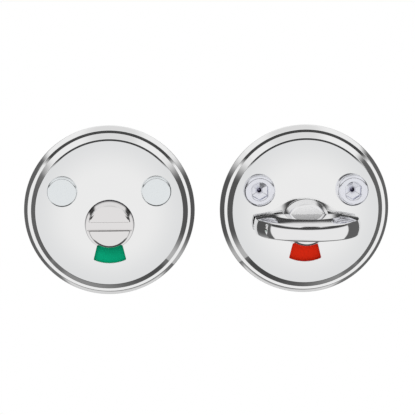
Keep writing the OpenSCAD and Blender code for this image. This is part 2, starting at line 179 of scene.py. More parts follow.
def make_piece(name, patches, axis_x, body, material, sharp=SHARP):
    """Joins patches into one closed mesh in the frame, which stands for the CAD node of the same name."""
    corners = np.concatenate([to_frame(points, axis_x) for points, _ in patches])
    starts = np.cumsum([0] + [len(points) for points, _ in patches[:-1]])
    faces = [face for (_, part), start in zip(patches, starts) for face in (part + start).tolist()]
    mesh = bpy.data.meshes.new(name + "_surface")
    mesh.from_pydata(corners.tolist(), [], faces)
    work = bmesh.new()
    work.from_mesh(mesh)
    bmesh.ops.remove_doubles(work, verts=work.verts, dist=MERGE)
    bmesh.ops.dissolve_degenerate(work, edges=work.edges, dist=MERGE)
    bmesh.ops.recalc_face_normals(work, faces=work.faces)
    loose = sum(not edge.is_manifold for edge in work.edges)
    work.to_mesh(mesh)
    work.free()
    mesh.shade_smooth()
    mesh.set_sharp_from_angle(angle=sharp)
    mesh.materials.append(material)
    piece = add_object(name + "_finished", mesh)
    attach(piece, body)
    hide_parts(name)
    print(f"{name}: {len(mesh.polygons)} faces, {loose} open edges")


# %% [markdown]
# ## Surface effects that several finishes share
# Real metal is never one number. Wiped polish has patches of haze, a lathe leaves rings, a belt leaves
# lines and a mould leaves grain. Each effect is a node group with named sockets, so that every finish can
# use it with its own values. The groups put out masks and heights only, and the shader stays in the
# material.

# %% Node tools
NOISE, VECTOR, VALUE = "ShaderNodeTexNoise", "NodeSocketVector", "NodeSocketFloat"


def node(tree, kind, links=(), **settings):
    """Adds a node, sets its properties or its sockets' values, and links sockets into it."""
    made = tree.nodes.new(kind)
    for key, value in settings.items():
        setattr(made, key, value)
    for socket, source in links:
        if hasattr(source, "is_output"):
            tree.links.new(source, made.inputs[socket])
        else:
            made.inputs[socket].default_value = source
    return made


def calc(tree, operation, *values):
    """The result of one step of arithmetic on sockets or plain numbers."""
    return node(tree, "ShaderNodeMath", enumerate(values), operation=operation).outputs[0]


def ramp(tree, value, start, end, low=0.0, high=1.0, **settings):
    """Carries a value from the range start to end over to low to high, and holds it at both ends."""
    links = [("Value", value), ("From Min", start), ("From Max", end), ("To Min", low), ("To Max", high)]
    return node(tree, "ShaderNodeMapRange", links, **settings).outputs["Result"]


def parts_of(tree, place):
    """The X, Y and Z of a place."""
    return node(tree, "ShaderNodeSeparateXYZ", [("Vector", place)]).outputs


def effect_group(name, inputs, outputs):
    """An empty node group with its sockets: (name, kind, default) for inputs, names of values for outputs."""
    tree = bpy.data.node_groups.new(name, "ShaderNodeTree")
    for label, kind, default in inputs:
        socket = tree.interface.new_socket(label, in_out="INPUT", socket_type=kind)
        if default is not None:
            socket.default_value = default
    for label in outputs:
        tree.interface.new_socket(label, in_out="OUTPUT", socket_type=VALUE)
    return tree, tree.nodes.new("NodeGroupInput").outputs, tree.nodes.new("NodeGroupOutput").inputs


# %% Polish haze
HAZE_FROM, HAZE_TO = 0.35, 0.75
haze_tree, given, result = effect_group(
    "polish_haze",
    [("Vector", VECTOR, None), ("Clear", VALUE, 0.05), ("Hazy", VALUE, 0.12), ("Scale", VALUE, 120.0)],
    ["Roughness", "Height"],
)
cloud_links = [("Vector", given["Vector"]), ("Scale", given["Scale"]), ("Detail", 5.0), ("Roughness", 0.62)]
clouds = node(haze_tree, NOISE, cloud_links).outputs["Fac"]
roughness = ramp(haze_tree, clouds, HAZE_FROM, HAZE_TO, given["Clear"], given["Hazy"])
haze_tree.links.new(roughness, result["Roughness"])
haze_tree.links.new(clouds, result["Height"])

# %% Lines of a belt or a lathe
lines_tree, given, result = effect_group(
    "tool_lines",
    [("Across", VALUE, 0.0), ("Along", VALUE, 0.0), ("Scale", VALUE, 9000.0)],
    ["Mask"],
)
fine = calc(lines_tree, "MULTIPLY", given["Across"], given["Scale"])
stretched = node(lines_tree, "ShaderNodeCombineXYZ", [("X", fine), ("Y", given["Along"])]).outputs[0]
streak_links = [("Vector", stretched), ("Scale", 1.0), ("Detail", 3.0), ("Roughness", 0.7)]
streaks = node(lines_tree, NOISE, streak_links).outputs["Fac"]
lines_tree.links.new(streaks, result["Mask"])

# %% Casting grain
STAIN_SCALE = 0.08
grain_tree, given, result = effect_group(
    "cast_grain", [("Vector", VECTOR, None), ("Scale", VALUE, 2500.0)], ["Mask", "Height"]
)
pits = node(grain_tree, NOISE, [("Vector", given["Vector"]), ("Scale", given["Scale"]), ("Detail", 4.0)])
coarse = calc(grain_tree, "MULTIPLY", given["Scale"], STAIN_SCALE)
stains = node(grain_tree, NOISE, [("Vector", given["Vector"]), ("Scale", coarse), ("Detail", 3.0)])
grain_tree.links.new(stains.outputs["Fac"], result["Mask"])
grain_tree.links.new(pits.outputs["Fac"], result["Height"])
print("effects:", [tree.name for tree in (haze_tree, lines_tree, grain_tree)])

# %% [markdown]
# ## Finishes
# The roses and the two turns are polished until they mirror the studio, so they are nearly white metal with
# little roughness, and a slow haze that a cloth leaves. The other finishes start from the same function and
# change the colour, the roughness and the effect that roughens or tints them.

# %% Finish tools
# A Mix node repeats its sockets' names for each kind of data, so its colour sockets go by number.
MIX_DARK, MIX_LIGHT, MIX_RESULT = 6, 7, 2


def linear(*rgb):
    """A colour written in the usual 0 to 255 steps, as the linear values that shaders use."""
    c = np.array(rgb) / 255
    low, high = c / 12.92, ((c + 0.055) / 1.055) ** 2.4
    return (*np.where(c <= 0.04045, low, high), 1.0)


def new_finish(name, metallic, specular=0.5):
    """A material with its shader and the object's own coordinates."""
    material = bpy.data.materials.new(name)
    material.use_nodes = True
    tree = material.node_tree
    shader = tree.nodes["Principled BSDF"]
    shader.inputs["Metallic"].default_value = metallic
    shader.inputs["Specular IOR Level"].default_value = specular
    place = tree.nodes.new("ShaderNodeTexCoord").outputs["Object"]
    return material, tree, shader, place


def tint(tree, shader, mask, dark, light):
    """Colours a surface between two tones by a mask."""
    tones = [("Factor", mask), (MIX_DARK, dark), (MIX_LIGHT, light)]
    mix = node(tree, "ShaderNodeMix", tones, data_type="RGBA")
    tree.links.new(mix.outputs[MIX_RESULT], shader.inputs["Base Color"])


def emboss(tree, shader, height, depth_mm):
    """Lets a height move the shading normal, for relief too fine to model."""
    links = [("Height", height), ("Strength", 1.0), ("Distance", depth_mm * MM)]
    bump = node(tree, "ShaderNodeBump", links)
    tree.links.new(bump.outputs["Normal"], shader.inputs["Normal"])


def use_effect(tree, effect, links):
    """Places an effect group in a material."""
    return node(tree, "ShaderNodeGroup", links, node_tree=effect).outputs


# %% Polished and plated metal


def hazy_polish(tree, shader, place, clear, hazy, scale):
    """Lets patches of haze set the roughness, and hands on the outputs of the effect."""
    links = [("Vector", place), ("Clear", clear), ("Hazy", hazy), ("Scale", scale)]
    haze = use_effect(tree, haze_tree, links)
    tree.links.new(haze["Roughness"], shader.inputs["Roughness"])
    return haze


def polished_finish(name, dark, light, clear, hazy, scale):
    """Mirror-like metal: haze sets the roughness and moves the tone a little."""
    material, tree, shader, place = new_finish(name, 1.0)
    haze = hazy_polish(tree, shader, place, clear, hazy, scale)
    tint(tree, shader, haze["Height"], dark, light)
    return material


PIN_STEEL = polished_finish(
    "pin_steel", linear(178, 178, 182), linear(196, 196, 200), clear=0.18, hazy=0.3, scale=900.0
)
BRASS = polished_finish(
    "washer_brass", linear(214, 178, 112), linear(232, 200, 132), clear=0.22, hazy=0.36, scale=600.0
)
SPRING = polished_finish(
    "spring_steel", linear(112, 112, 118), linear(134, 134, 142), clear=0.2, hazy=0.34, scale=900.0
)
ZINC = polished_finish(
    "zinc_steel", linear(196, 201, 214), linear(222, 226, 236), clear=0.16, hazy=0.3, scale=700.0
)

# %% Cast, moulded and printed finishes


def grained_finish(name, dark, light, rough, scale, depth_mm, metallic=0.0, specular=0.5):
    """Cast metal or moulded plastic: stains move the tone and pits are embossed."""
    material, tree, shader, place = new_finish(name, metallic, specular)
    shader.inputs["Roughness"].default_value = rough
    grain = use_effect(tree, grain_tree, [("Vector", place), ("Scale", scale)])
    tint(tree, shader, grain["Mask"], dark, light)
    emboss(tree, shader, grain["Height"], depth_mm)
    return material


SAND_CAST = {"rough": 0.48, "scale": 2600.0, "depth_mm": 0.05, "metallic": 1.0}
PRINTED = {"rough": 0.6, "scale": 900.0, "depth_mm": 0.004, "specular": 0.04}
CAST = grained_finish("grey_metal", linear(128, 130, 133), linear(160, 162, 165), **SAND_CAST)
NYLON = grained_finish(
    "nylon", linear(228, 225, 214), linear(241, 238, 229), rough=0.5, scale=1500.0, depth_mm=0.01
)
FLAG = grained_finish(
    "flag_plastic", linear(222, 222, 219), linear(236, 236, 234), rough=0.5, scale=1800.0, depth_mm=0.01
)
GREEN = grained_finish("green_foil", linear(4, 158, 112), linear(6, 176, 130), **PRINTED)
RED = grained_finish("red_foil", linear(242, 44, 18), linear(252, 54, 26), **PRINTED)

# %% Distance from one of two centres
# Fixings and roses come in pairs, alike on both sides of a middle line. Folding x onto one side of it and
# taking the distance from a centre there gives rings around both.
SCREW_X, SCREW_Y, ROSE_UP = 15.0, 10.7, 4.0


def pair_radius(tree, place, middle_x, half_x=0.0, up=0.0):
    """Distance from the nearer of two centres at middle - half and middle + half, at one height."""
    centred = node(tree, "ShaderNodeMapping", [("Vector", place), ("Location", (-middle_x, 0, -up))])
    part = parts_of(tree, centred.outputs[0])
    across = calc(tree, "SUBTRACT", calc(tree, "ABSOLUTE", part["X"]), half_x)
    flat = node(tree, "ShaderNodeCombineXYZ", [("X", across), ("Y", part["Z"])]).outputs[0]
    return node(tree, "ShaderNodeVectorMath", [(0, flat)], operation="LENGTH").outputs["Value"]


# %% Polished roses
# Painted shade: the face's colour is tinted darker from the middle towards its edge, so that its mirror looks
# greyer near the rim.
EDGE_SHADE_FROM, EDGE_SHADE_TO, FACE_R = 12.0, 24.5, 23.5
MOPPED = {"clear": 0.035, "hazy": 0.07, "scale": 90.0}
ROSE_METAL, tree, shader, place = new_finish("polished_metal", 1.0)
hazy_polish(tree, shader, place, **MOPPED)
radius = pair_radius(tree, place, MIDDLE, (INSIDE - OUTSIDE) / 2, ROSE_UP * MM)
painted_edge_shade = ramp(tree, radius, EDGE_SHADE_FROM * MM, EDGE_SHADE_TO * MM, interpolation_type="SMOOTHSTEP")
on_face = calc(tree, "LESS_THAN", radius, FACE_R * MM)
# Painted shade: a darker tint on the face towards its edge.
tint(tree, shader, calc(tree, "MULTIPLY", painted_edge_shade, on_face), linear(248, 248, 248), linear(233, 234, 235))

# %% Polished coin turn
# Painted shade: a dark line is tinted round the foot of the hub, where it stands just off the face.
FOOT_FROM_R, FOOT_TOP, FOOT_END = 6.5, 8.5, 7.4
POLISHED, tree, shader, place = new_finish("polished_turn", 1.0)
hazy_polish(tree, shader, place, **MOPPED)
on_hub = calc(tree, "GREATER_THAN", pair_radius(tree, place, OUTSIDE), FOOT_FROM_R * MM)
painted_foot_shade = ramp(tree, parts_of(tree, place)["Y"], -FOOT_TOP * MM, -FOOT_END * MM)
# Painted shade: the hub's foot is tinted dark.
tint(tree, shader, calc(tree, "MULTIPLY", painted_foot_shade, on_hub), linear(236, 234, 234), linear(84, 82, 86))

# %% Turned sleeve heads
# A lathe leaves rings around each fixing, so the lines go by the distance to its centre.
RING_SCALE, RING_DEPTH, RING_SMOOTH, RING_ROUGH = 5200.0, 0.0002, 0.12, 0.18
SLEEVE, tree, shader, place = new_finish("sleeve_metal", 1.0)
radius = pair_radius(tree, place, OUTSIDE, SCREW_X * MM, SCREW_Y * MM)
rings = use_effect(tree, lines_tree, [("Across", radius), ("Scale", RING_SCALE)])["Mask"]
tint(tree, shader, rings, linear(235, 239, 241), linear(238, 242, 244))
tree.links.new(ramp(tree, rings, 0.0, 1.0, RING_SMOOTH, RING_ROUGH), shader.inputs["Roughness"])
emboss(tree, shader, rings, RING_DEPTH)

# %% Plated screws
# Painted shade: the drilled hole below the hexagon is tinted dark, where shade falls deep in the socket. The
# mask ends at the plane of the door, or else it would reach through the screw to its far end.
HOLE_SHADE_R, HOLE_SHADE_TOP, HOLE_SHADE_END = 2.1, 6.6, 6.2
SCREW_ZINC, tree, shader, place = new_finish("zinc_screws", 1.0)
hazy_polish(tree, shader, place, clear=0.14, hazy=0.26, scale=700.0)
radius = pair_radius(tree, place, INSIDE, SCREW_X * MM, SCREW_Y * MM)
in_hole = calc(tree, "LESS_THAN", radius, HOLE_SHADE_R * MM)
depth = parts_of(tree, place)["Y"]
in_head = calc(tree, "LESS_THAN", depth, 0.0)
below_hexagon = calc(tree, "MULTIPLY", ramp(tree, depth, -HOLE_SHADE_TOP * MM, -HOLE_SHADE_END * MM), in_head)
painted_hole_shade = calc(tree, "MULTIPLY", below_hexagon, in_hole)
# Painted shade: the hole below the hexagon is tinted darker.
tint(tree, shader, painted_hole_shade, linear(236, 237, 244), linear(150, 147, 164))

# %% Brushed grip
# The rim of the grip was drawn along a belt, which leaves fine lines the way it ran. They follow x, so the
# noise changes quickly up the thickness and slowly along it. The belt doesn't reach the hub behind the
# grip, so the mirror is softer there.
BELT_SCALE, BELT_ALONG, BELT_DEPTH = 9000.0, 260.0, 0.0012
SOFT_HUB_R, SOFT_HUB_Z, SOFT_HUB = 9.5, 11.6, 0.09
BRUSHED, tree, shader, place = new_finish("brushed_polish", 1.0)
part = parts_of(tree, place)
slow = calc(tree, "MULTIPLY", part["X"], BELT_ALONG)
belt = use_effect(tree, lines_tree, [("Across", part["Z"]), ("Along", slow), ("Scale", BELT_SCALE)])["Mask"]
tint(tree, shader, belt, linear(236, 236, 237), linear(250, 250, 250))
emboss(tree, shader, belt, BELT_DEPTH)
haze = use_effect(tree, haze_tree, [("Vector", place), ("Clear", 0.04), ("Hazy", 0.08), ("Scale", 120.0)])
beside_axis = calc(tree, "LESS_THAN", pair_radius(tree, place, INSIDE), SOFT_HUB_R * MM)
behind_grip = calc(tree, "GREATER_THAN", part["Y"], -SOFT_HUB_Z * MM)
on_hub = calc(tree, "MULTIPLY", beside_axis, behind_grip)
softer = calc(tree, "MULTIPLY_ADD", on_hub, SOFT_HUB, haze["Roughness"])
tree.links.new(softer, shader.inputs["Roughness"])
print("finishes:", sorted(material.name for material in bpy.data.materials if material.use_nodes))

# %% [markdown]
# ## The roses
# A rose is a disc of sheet pressed into a shallow cup. Its face is flat. At the edge it falls in two steep
# steps, the outer one a little steeper, with a narrow ledge between them, and then draws in a little
# towards the door. The press leaves a slight bevel along the edge of the face. One could bevel a cylinder,
# but the steps decide how the rim mirrors the room, so the profile is drawn exactly and carried round the
# centre.

# %% Rim profile
FACE_Z, UNDER_Z, ROSE_R = 6.5, 5.5, 27.5
SHEET = FACE_Z - UNDER_Z
FILL_R, LEDGE_R, LEDGE_END_R, FOOT_R = 22.0, 25.125, 26.15, 27.0
INNER_SLOPE, OUTER_SLOPE, LEDGE_SLOPE, BEVEL_SLOPE = 47.2, 50.5, 11.5, 12.0
BEVEL_R, LEDGE_Z = 22.85, 4.66
ROUND = 192
around = np.linspace(0, 2 * np.pi, ROUND, endpoint=False)


def direction(degrees):
    """The unit vector at an angle."""
    return np.array([np.cos(np.radians(degrees)), np.sin(np.radians(degrees))])


def down_slope(start, r, degrees):
    """The point at a radius on the line that falls outwards from a start at an angle."""
    return np.array([r, start[1] - (r - start[0]) * np.tan(np.radians(degrees))])


fall, ease = np.tan(np.radians([INNER_SLOPE, BEVEL_SLOPE]))
bevel, ledge = np.array([(BEVEL_R, FACE_Z), (LEDGE_R, LEDGE_Z)])
bevel_end_r = (LEDGE_Z + fall * LEDGE_R - FACE_Z - ease * BEVEL_R) / (fall - ease)
bevel_end = down_slope(bevel, bevel_end_r, BEVEL_SLOPE)
ledge_end = down_slope(ledge, LEDGE_END_R, LEDGE_SLOPE)
shoulder = down_slope(ledge_end, ROSE_R, OUTER_SLOPE)
cavity_z = ledge_end[1] - SHEET
rim_points = [
    (FILL_R, FACE_Z), bevel, bevel_end, ledge, ledge_end, shoulder, (FOOT_R, 0), (FOOT_R - SHEET, 0),
    (FOOT_R - SHEET, cavity_z), (FACE_R - SHEET, cavity_z), (FACE_R - SHEET, UNDER_Z), (FILL_R, UNDER_Z),
]
rim_cuts = [0.1, 0.12, 0.06, 0.12, 0.4, 0.25, 0.15, 0.2, 0.2, 0.2]
rim_path = soften(rim_points, rim_cuts)
rim = grid(turned(rim_path[:, :1], rim_path[:, 1:], around, (0, ROSE_UP)), wrap=True)
print("ledge at", ledge.round(2), "shoulder at", shoulder.round(2))

# %% [markdown]
# ## The face and its holes
# Four holes are punched in the face: for the bush, for the two fixings and for the flag window. A punch
# rolls the upper edge over a little, which shows as a bright line round the window. Each hole is a loop:
# the roll and the wall are a quarter circle and a straight line carried along it.

# %% Window loop and hole walls
WINDOW_R, WINDOW_IN_R, WINDOW_W, WINDOW_LEAN = 12.5, 7.1, 10.4, 14.0
BUSH_R, LIP, WINDOW_CORNER = 6.03, 0.14, 0.3
LOWER_STEPS, UPPER_STEPS, SIDE_TRIES = 25, 13, 400
FIXINGS = [(-SCREW_X, SCREW_Y), (SCREW_X, SCREW_Y)]


def window_loop():
    """Anticlockwise: along the lower arc, up the right side, back under the hub and down the left side."""
    half = np.degrees(np.arcsin(WINDOW_W / 2 / WINDOW_R))
    lower = arc((0, 0), WINDOW_R, -90 - half, -90 + half, LOWER_STEPS)
    side = direction(90 + WINDOW_LEAN)
    along = np.linspace(0, WINDOW_R, SIDE_TRIES)
    reach = np.linalg.norm(lower[-1] + along[:, None] * side, axis=1)
    top = lower[-1] + side * np.interp(-WINDOW_IN_R, -reach[: reach.argmin()], along[: reach.argmin()])
    swing = np.degrees(np.arctan2(top[0], -top[1]))
    upper = arc((0, 0), WINDOW_IN_R, -90 + swing, -90 - swing, UPPER_STEPS)
    path = [*lower[len(lower) // 2 :], *upper, *lower[: len(lower) // 2 + 1]]
    cuts = [WINDOW_CORNER if np.allclose(p, lower[0]) or np.allclose(p, lower[-1]) else 0 for p in path[1:-1]]
    return soften(path, cuts)[:-1]


def hole_wall(loop):
    """Rows down a hole: lip (1 - sin a) outside it and lip (1 - cos a) below the face, then straight down."""
    a = np.linspace(0, np.pi / 2, CORNER_STEPS)
    out = np.append(LIP * (1 - np.sin(a)), 0)[:, None, None]
    z = np.append(FACE_Z - LIP * (1 - np.cos(a)), UNDER_Z)[:, None]
    flat = loop + out * outward(loop)
    return np.dstack([flat, np.broadcast_to(z, flat.shape[:2])])


# %% Both roses
BUSH_STEPS, FIXING_STEPS, SLEEVE_HOLE_R, SCREW_HOLE_R = 96, 72, 4.2, 3.2


def rose(fixing_r):
    """Rim, upper and lower side of the face, and the walls of its holes."""
    fixing_loops = [ring_loop(at, fixing_r, FIXING_STEPS) for at in FIXINGS]
    loops = [window_loop(), ring_loop((0, 0), BUSH_R, BUSH_STEPS), *fixing_loops]
    edge = turned(FILL_R, 0, around, (0, ROSE_UP))[:, :2]
    walls = [hole_wall(loop) for loop in loops]
    upper = flat_fill([edge, *[wall[0, :, :2] for wall in walls]], FACE_Z)
    lower = flat_fill([edge, *loops], UNDER_Z)
    return [rim, upper, lower, *[grid(wall, wrap=True) for wall in walls]]


make_piece("outside_rose", rose(SLEEVE_HOLE_R), OUTSIDE, "roses", ROSE_METAL)
make_piece("inside_rose", rose(SCREW_HOLE_R), INSIDE, "roses", ROSE_METAL)

# %% [markdown]
# ## Hub and shaft
# Both turns have the same bar: a tapered hub with a low dome, a journal that runs in the bush, and a shaft
# with four flats for the flag and the spring, a groove for the circlip and a square socket. In one formula,
# the radius at an angle is the smaller of a circle and a square: min(limit, half width / max(|cos a|, |sin
# a|)). A row with ROUND_BAR leaves one of the two out.

# %% Hub profile and shaft rows
HUB_R, HUB_Z, HUB_TOP, SHOULDER_R, HUB_TAPER, DOME_EDGE = 7.9, 7.05, 11.5, 1.4, 17.0, 24.0
COIN_DOME_R, TURN_DOME_R, TURN_POLISH_R = 80.0, 48.0, 300.0
JOURNAL_R, FLAT, GROOVE_R, SOCKET = 5.0, 4.2, 4.3, 2.6
FOIL_Z, GROOVE_TOP, GROOVE_END, TAIL_Z, SOCKET_Z = 5.05, 1.5, 0.6, 0.2, 7.9
ROUND_BAR, TAIL_CUT, SOCKET_CUT = 99.0, 0.15, 0.2
EDGE_RISE, EDGE_CUT, EDGE_IN, EDGE_UP = 0.4, 0.25, 0.1, 0.07
DOME_STEPS, BEND_STEPS, SIDE_STEPS = 17, 13, 5


def side_r(z):
    """Radius of the hub's tapered side at a height."""
    return HUB_R - (z - HUB_Z) * np.tan(np.radians(HUB_TAPER))


SHAFT_ROWS = np.array([
    *[(side_r(HUB_Z + up), ROUND_BAR, HUB_Z + up) for up in (EDGE_RISE, EDGE_CUT)],
    (HUB_R - EDGE_IN, ROUND_BAR, HUB_Z + EDGE_UP), (HUB_R - EDGE_CUT, ROUND_BAR, HUB_Z),
    (JOURNAL_R, ROUND_BAR, HUB_Z), (JOURNAL_R, ROUND_BAR, FOIL_Z), (JOURNAL_R, FLAT, FOIL_Z),
    (JOURNAL_R, FLAT, GROOVE_TOP), (GROOVE_R, FLAT, GROOVE_TOP), (GROOVE_R, FLAT, GROOVE_END),
    (JOURNAL_R, FLAT, GROOVE_END), (JOURNAL_R, FLAT, TAIL_Z + TAIL_CUT),
    (JOURNAL_R - TAIL_CUT, FLAT - TAIL_CUT, TAIL_Z), (ROUND_BAR, SOCKET + SOCKET_CUT, TAIL_Z),
    (ROUND_BAR, SOCKET, TAIL_Z + SOCKET_CUT), (ROUND_BAR, SOCKET, SOCKET_Z), (0, ROUND_BAR, SOCKET_Z),
])


def shaft_skin(angles):
    """From the hub's lower edge round the shaft's end into its socket, as rows of min(circle, square)."""
    limit, half_w, z = [column[:, None] for column in SHAFT_ROWS.T]
    square = half_w / np.maximum(np.abs(np.cos(angles)), np.abs(np.sin(angles)))
    return turned(np.minimum(limit, square), z, angles)


def hub_shoulder(dome_r):
    """Centre of the circle that touches side and dome from inside, and the radius where the dome ends."""
    side, up = direction(HUB_TAPER), direction(90 + HUB_TAPER)
    foot_c = np.array([HUB_R, HUB_Z]) - SHOULDER_R * side
    from_dome = foot_c - [0, HUB_TOP - dome_r]
    along = from_dome @ up
    centre = foot_c + (np.sqrt(along**2 - from_dome @ from_dome + (dome_r - SHOULDER_R) ** 2) - along) * up
    return centre, centre[0] + SHOULDER_R * np.sin(np.radians(DOME_EDGE))


def hub_height(r, dome_r, polish_r):
    """Height of the hub at a radius: circles on the dome and the shoulder, then a line down the side."""
    centre, dome_end = hub_shoulder(dome_r)
    side_top_r = centre[0] + SHOULDER_R * np.cos(np.radians(HUB_TAPER))
    edge_z = centre[1] + SHOULDER_R * np.cos(np.radians(DOME_EDGE))
    on_dome = edge_z + np.sqrt(polish_r**2 - r**2) - np.sqrt(polish_r**2 - dome_end**2)
    on_shoulder = centre[1] + np.sqrt(np.maximum(SHOULDER_R**2 - (r - centre[0]) ** 2, 0))
    on_side = HUB_Z + (HUB_R - r) / np.tan(np.radians(HUB_TAPER))
    return np.select([r < dome_end, r < side_top_r], [on_dome, on_shoulder], on_side)


def hub_radii(dome_r, end_r):
    """Radii from the middle out over the dome, at even angles along the shoulder, and down the side."""
    centre, dome_end = hub_shoulder(dome_r)
    bend_a = np.radians(np.linspace(DOME_EDGE, 90 - HUB_TAPER, BEND_STEPS))
    bend = centre[0] + SHOULDER_R * np.sin(bend_a)
    down = np.linspace(bend[-1], end_r, SIDE_STEPS)
    return np.concatenate([np.linspace(0, dome_end, DOME_STEPS), bend[1:], down[1:]])


print("shoulder centres:", [hub_shoulder(r)[0].round(2) for r in (COIN_DOME_R, TURN_DOME_R)])

# %% [markdown]
# ## The coin turn
# The outside hub has a slot for a coin. A boolean cut would do, but its edges would be razor sharp and its
# faces ragged. Here each half of the dome is a turned patch that starts at the slot, its edge is a parabola
# carried along the slot, and the walls and the floor follow.

# %% Slot edge and half dome
SLOT_HALF, SLOT_FLOOR, SLOT_EDGE, CAP_COLUMNS, MOUTH_STEPS = 1.4, 8.9, 0.16, 73, 7
slot_floor_r = side_r(SLOT_FLOOR)
slot_reach = np.sqrt(slot_floor_r**2 - SLOT_HALF**2)
cap_reach = np.sqrt(slot_floor_r**2 - (SLOT_HALF + SLOT_EDGE) ** 2)
coin_r = hub_radii(COIN_DOME_R, slot_floor_r)
edge_x = np.sqrt(np.append(SLOT_HALF, coin_r[coin_r > SLOT_HALF]) ** 2 - SLOT_HALF**2)


def slot_line(scale, y):
    """A line over the dome beside the slot: x runs outwards, and z is the hub's height there."""
    x = edge_x * scale
    return np.column_stack([x, np.full(len(x), y), hub_height(np.hypot(x, y), COIN_DOME_R, COIN_DOME_R)])


edge_start = slot_line(cap_reach / slot_reach, SLOT_HALF + SLOT_EDGE)
edge_corner = slot_line(1.0, SLOT_HALF)
run = tangents(edge_corner[:, [0, 2]])
edge_end = edge_corner - SLOT_EDGE * np.column_stack([-run[:, 1], np.zeros(len(run)), run[:, 0]])
edge_end[0, 0] = 0
edge_end[:, 2] = np.maximum(edge_end[:, 2], SLOT_FLOOR)
edge_t = np.linspace(0, 1, CORNER_STEPS)[:, None, None]
slot_edge = bezier(edge_start, edge_corner, edge_end, edge_t)
cap_r = np.hypot(edge_start[:, 0], edge_start[:, 1])[:, None]
cap_from = np.arcsin(edge_start[:, 1:2] / cap_r)
cap_angles = cap_from + np.linspace(0, 1, CAP_COLUMNS) * (np.pi - 2 * cap_from)
cap = grid(turned(cap_r, edge_start[:, 2:], cap_angles))
print("slot edge from", edge_start[0].round(2), "to", edge_start[-1].round(2))

# %% Slot walls, floor and the whole turn
wall_floor = edge_end * [1, 1, 0] + [0, 0, SLOT_FLOOR]
wall = grid(np.stack([edge_end, wall_floor]))
mouth = np.linspace(0, cap_from[-1, 0], MOUTH_STEPS)
quarter = np.concatenate([
    turned(slot_floor_r, SLOT_FLOOR, mouth[:-1]), slot_edge[:, -1], wall_floor[-2::-1],
])[:, :2]
upper_half = np.concatenate([quarter, (quarter * [-1, 1])[-2::-1]])
floor_loop = np.concatenate([upper_half, (upper_half * [1, -1])[-2:0:-1]])
mouth_ring = np.concatenate([-mouth[:0:-1], mouth])
half_ring = np.concatenate([mouth_ring[:-1], cap_angles[-1, :-1]])
coin_ring = np.concatenate([half_ring, half_ring + np.pi])
coin_side = np.concatenate([turned(slot_floor_r, np.array([[SLOT_FLOOR]]), coin_ring), shaft_skin(coin_ring)])
quarter_patches = [grid(slot_edge), wall]
half_patches = [cap, *quarter_patches, *[mirrored(patch, 0) for patch in quarter_patches]]
coin_patches = [*half_patches, *[mirrored(patch, 1) for patch in half_patches]]
coin_patches += [flat_fill([floor_loop], SLOT_FLOOR), grid(coin_side, wrap=True)]
make_piece("coin_turn", coin_patches, OUTSIDE, "outside_turn", POLISHED, CRISP)

# %% [markdown]
# ## The thumb turn
# The grip is a half-moon on edge, cast in one with its hub. Its flat sides lean in towards a crowned rim.
# The section from the middle of one side, over the rim, to the middle of the other is carried round the
# grip's own axis, and stops at a flat cut in front of the rose: at radius r the sweep starts at the angle
# -asin(d / r).

# %% Grip section
GRIP_R, GRIP_FLAT_R, GRIP_MID, GRIP_EDGE, CROWN_R = 17.0, 11.0, 3.5, 2.5, 7.0
GRIP_Z, GRIP_C_Z, GRIP_ROUND, GRIP_CREASE, GRIP_COLUMNS = 9.9, 11.0, 0.35, 0.08, 121
INNER_REACH, INNER_STEPS, CROWN_STEPS, RIM_TRIES, BACK_ROWS = 9.5, 12, 9, 2000, 7
crown_c = GRIP_R - CROWN_R
lean = (np.array([GRIP_R, GRIP_EDGE]) - [GRIP_FLAT_R, GRIP_MID]) / (GRIP_R - GRIP_FLAT_R)
try_r = np.linspace(GRIP_FLAT_R, GRIP_R, RIM_TRIES)
side_y = GRIP_MID + (try_r - GRIP_FLAT_R) * lean[1]
rim_r = try_r[np.abs(np.hypot(try_r - crown_c, side_y) - CROWN_R).argmin()]
rim_deg = np.degrees(np.arccos((rim_r - crown_c) / CROWN_R))
crown = arc((crown_c, 0), CROWN_R, rim_deg, 0, CROWN_STEPS)
cut_rise = GRIP_C_Z - GRIP_Z
inner_r = np.sqrt(cut_rise**2 + np.linspace(0, INNER_REACH, INNER_STEPS) ** 2)
half_section = [*[(r, GRIP_MID) for r in inner_r], (GRIP_FLAT_R, GRIP_MID), *crown]
section_cuts = [*[0] * (len(inner_r) - 1), GRIP_CREASE, GRIP_ROUND, *[0] * (len(crown) - 2)]
upper_section = soften(half_section, section_cuts)
section = np.concatenate([upper_section, (upper_section * [1, -1])[-2::-1]])
print("grip rim meets its sides at radius", round(rim_r, 2), "with", len(section), "points across")

# %% Grip skin and flat back


def grip_points(r, y, swing):
    """Polar points on the grip's axis: x = r cos s, y stays, z = centre + r sin s."""
    r, y, s = np.broadcast_arrays(r, y, swing)
    return np.stack([r * np.cos(s), y, GRIP_C_Z + r * np.sin(s)], axis=-1)


r, y = section[:, :1], section[:, 1:]
cut_at = cut_rise - GRIP_ROUND
swing_from = -np.arcsin(np.minimum(cut_at / r, 1))
swing = swing_from + np.linspace(0, 1, GRIP_COLUMNS) * (np.pi - 2 * swing_from)
grip_skin = grid(grip_points(r, y, swing))
back_start = grip_points(r[:, 0], y[:, 0], swing_from[:, 0])
corner_x = np.sqrt(np.maximum(r[:, 0] ** 2 - cut_rise**2, 0))
back_corner = np.column_stack([corner_x, y[:, 0], np.full(len(corner_x), GRIP_Z)])
run = tangents(section)
back_end = back_corner - GRIP_ROUND * np.column_stack([-run[:, 1], run[:, 0], np.zeros(len(run))])
back_end[[0, -1], 0] = 0
back_edge = bezier(back_start, back_corner, back_end, edge_t)
half_count = len(upper_section)
back_upper = back_end[:half_count]
back_lower = back_end[half_count - 1 :][::-1]
back_face = back_upper + np.linspace(0, 1, BACK_ROWS)[:, None, None] * (back_lower - back_upper)
inner_fan = grid(grip_points(np.array([[0.0], [cut_rise]]), GRIP_MID, swing[0]))
